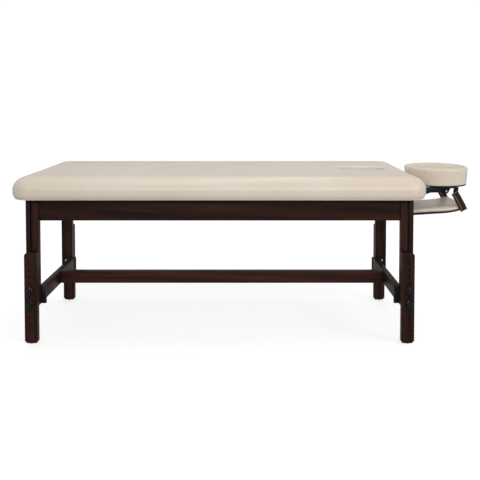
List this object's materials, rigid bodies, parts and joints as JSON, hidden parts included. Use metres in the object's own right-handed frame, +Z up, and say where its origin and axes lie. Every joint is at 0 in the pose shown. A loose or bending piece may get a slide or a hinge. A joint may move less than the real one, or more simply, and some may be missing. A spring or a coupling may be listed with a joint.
{
  "type": "massage table",
  "caption": "Stationary massage table: padded vinyl top with a face hole, wooden frame, height-set legs, tilting face cradle and arm shelf.",
  "frame": {"origin": "on the floor, under the middle of the whole object's box", "axes": "+X along the table towards the head end, +Y to its rear long side, +Z up"},
  "size_m": [2.149, 0.762, 0.7738],
  "materials": {
    "vinyl": "satin",
    "foam": "matte",
    "plywood": "matte",
    "frame_wood": "satin",
    "stretcher_wood": "satin",
    "black_steel": "satin",
    "zinc_steel": "satin",
    "knob_plastic": "matte",
    "black_plastic": "matte",
    "glide_rubber": "matte",
    "webbing": "matte",
    "hook_tape": "matte"
  },
  "bodies": {
    "frame": {"top_cover": "vinyl", "foam_core": "foam", "deck": "plywood", "deck_ribs": "plywood", "deck_screws": "zinc_steel", "front_apron": "frame_wood", "rear_apron": "frame_wood", "head_rail": "frame_wood", "foot_rail": "frame_wood", "corner_blocks": "plywood", "frame_bolts": "zinc_steel", "foot_brace": "frame_wood", "head_brace": "frame_wood", "long_stretcher": "stretcher_wood", "brace_shoes": "black_steel", "shoe_screws": "zinc_steel", "stretcher_bolts": "zinc_steel", "barrel_nuts": "zinc_steel", "cradle_sleeves": "zinc_steel", "socket_blocks": "plywood", "upper_leg_front_foot": "frame_wood", "upper_leg_front_head": "frame_wood", "upper_leg_rear_foot": "frame_wood", "upper_leg_rear_head": "frame_wood"},
    "leg_front_foot": {"extension_front_foot": "frame_wood", "bolts_front_foot": "zinc_steel", "glide_front_foot": "glide_rubber"},
    "knob_front_foot_low": {"knob_front_foot_low": "knob_plastic"},
    "knob_front_foot_high": {"knob_front_foot_high": "knob_plastic"},
    "leg_front_head": {"extension_front_head": "frame_wood", "bolts_front_head": "zinc_steel", "glide_front_head": "glide_rubber"},
    "knob_front_head_low": {"knob_front_head_low": "knob_plastic"},
    "knob_front_head_high": {"knob_front_head_high": "knob_plastic"},
    "leg_rear_foot": {"extension_rear_foot": "frame_wood", "bolts_rear_foot": "zinc_steel", "glide_rear_foot": "glide_rubber"},
    "knob_rear_foot_low": {"knob_rear_foot_low": "knob_plastic"},
    "knob_rear_foot_high": {"knob_rear_foot_high": "knob_plastic"},
    "leg_rear_head": {"extension_rear_head": "frame_wood", "bolts_rear_head": "zinc_steel", "glide_rear_head": "glide_rubber"},
    "knob_rear_head_low": {"knob_rear_head_low": "knob_plastic"},
    "knob_rear_head_high": {"knob_rear_head_high": "knob_plastic"},
    "cradle_frame": {"cradle_arm_near": "black_steel", "cradle_arm_far": "black_steel", "cradle_cross_bar": "black_steel", "pivot_rivets": "zinc_steel", "friction_washers": "zinc_steel", "arm_shelf_board": "frame_wood", "arm_shelf_pad": "vinyl", "outer_straps": "webbing", "inner_straps": "webbing", "lower_snaps": "black_steel"},
    "cradle_head": {"tilt_bracket_near": "black_steel", "tilt_bracket_far": "black_steel", "cradle_plate": "black_plastic", "hook_loop_strips": "hook_tape", "face_cushion": "vinyl", "upper_snaps": "black_steel"}
  },
  "joints": [
    {"name": "leg_height_front_foot", "type": "slide", "parent": "frame", "child": "leg_front_foot", "axis": [0, 0, 1], "range_m": [0, 0.1525]},
    {"name": "turn_front_foot_low", "type": "hinge", "parent": "leg_front_foot", "child": "knob_front_foot_low", "pos_m": [-1.0035, -0.32, 0.181], "axis": [0, -1, 0], "continuous": true},
    {"name": "turn_front_foot_high", "type": "hinge", "parent": "leg_front_foot", "child": "knob_front_foot_high", "pos_m": [-1.0035, -0.32, 0.242], "axis": [0, -1, 0], "continuous": true},
    {"name": "leg_height_front_head", "type": "slide", "parent": "frame", "child": "leg_front_head", "axis": [0, 0, 1], "range_m": [0, 0.1525]},
    {"name": "turn_front_head_low", "type": "hinge", "parent": "leg_front_head", "child": "knob_front_head_low", "pos_m": [0.7085, -0.32, 0.181], "axis": [0, -1, 0], "continuous": true},
    {"name": "turn_front_head_high", "type": "hinge", "parent": "leg_front_head", "child": "knob_front_head_high", "pos_m": [0.7085, -0.32, 0.242], "axis": [0, -1, 0], "continuous": true},
    {"name": "leg_height_rear_foot", "type": "slide", "parent": "frame", "child": "leg_rear_foot", "axis": [0, 0, 1], "range_m": [0, 0.1525]},
    {"name": "turn_rear_foot_low", "type": "hinge", "parent": "leg_rear_foot", "child": "knob_rear_foot_low", "pos_m": [-1.0035, 0.32, 0.181], "axis": [0, 1, 0], "continuous": true},
    {"name": "turn_rear_foot_high", "type": "hinge", "parent": "leg_rear_foot", "child": "knob_rear_foot_high", "pos_m": [-1.0035, 0.32, 0.242], "axis": [0, 1, 0], "continuous": true},
    {"name": "leg_height_rear_head", "type": "slide", "parent": "frame", "child": "leg_rear_head", "axis": [0, 0, 1], "range_m": [0, 0.1525]},
    {"name": "turn_rear_head_low", "type": "hinge", "parent": "leg_rear_head", "child": "knob_rear_head_low", "pos_m": [0.7085, 0.32, 0.181], "axis": [0, 1, 0], "continuous": true},
    {"name": "turn_rear_head_high", "type": "hinge", "parent": "leg_rear_head", "child": "knob_rear_head_high", "pos_m": [0.7085, 0.32, 0.242], "axis": [0, 1, 0], "continuous": true},
    {"name": "cradle_pull", "type": "slide", "parent": "frame", "child": "cradle_frame", "axis": [1, 0, 0], "range_m": [0, 0.12]},
    {"name": "cradle_tilt", "type": "hinge", "parent": "cradle_frame", "child": "cradle_head", "pos_m": [0.9285, 0, 0.664], "axis": [0, 1, 0], "range_deg": [0, 30], "deforming": ["outer_straps"]}
  ]
}
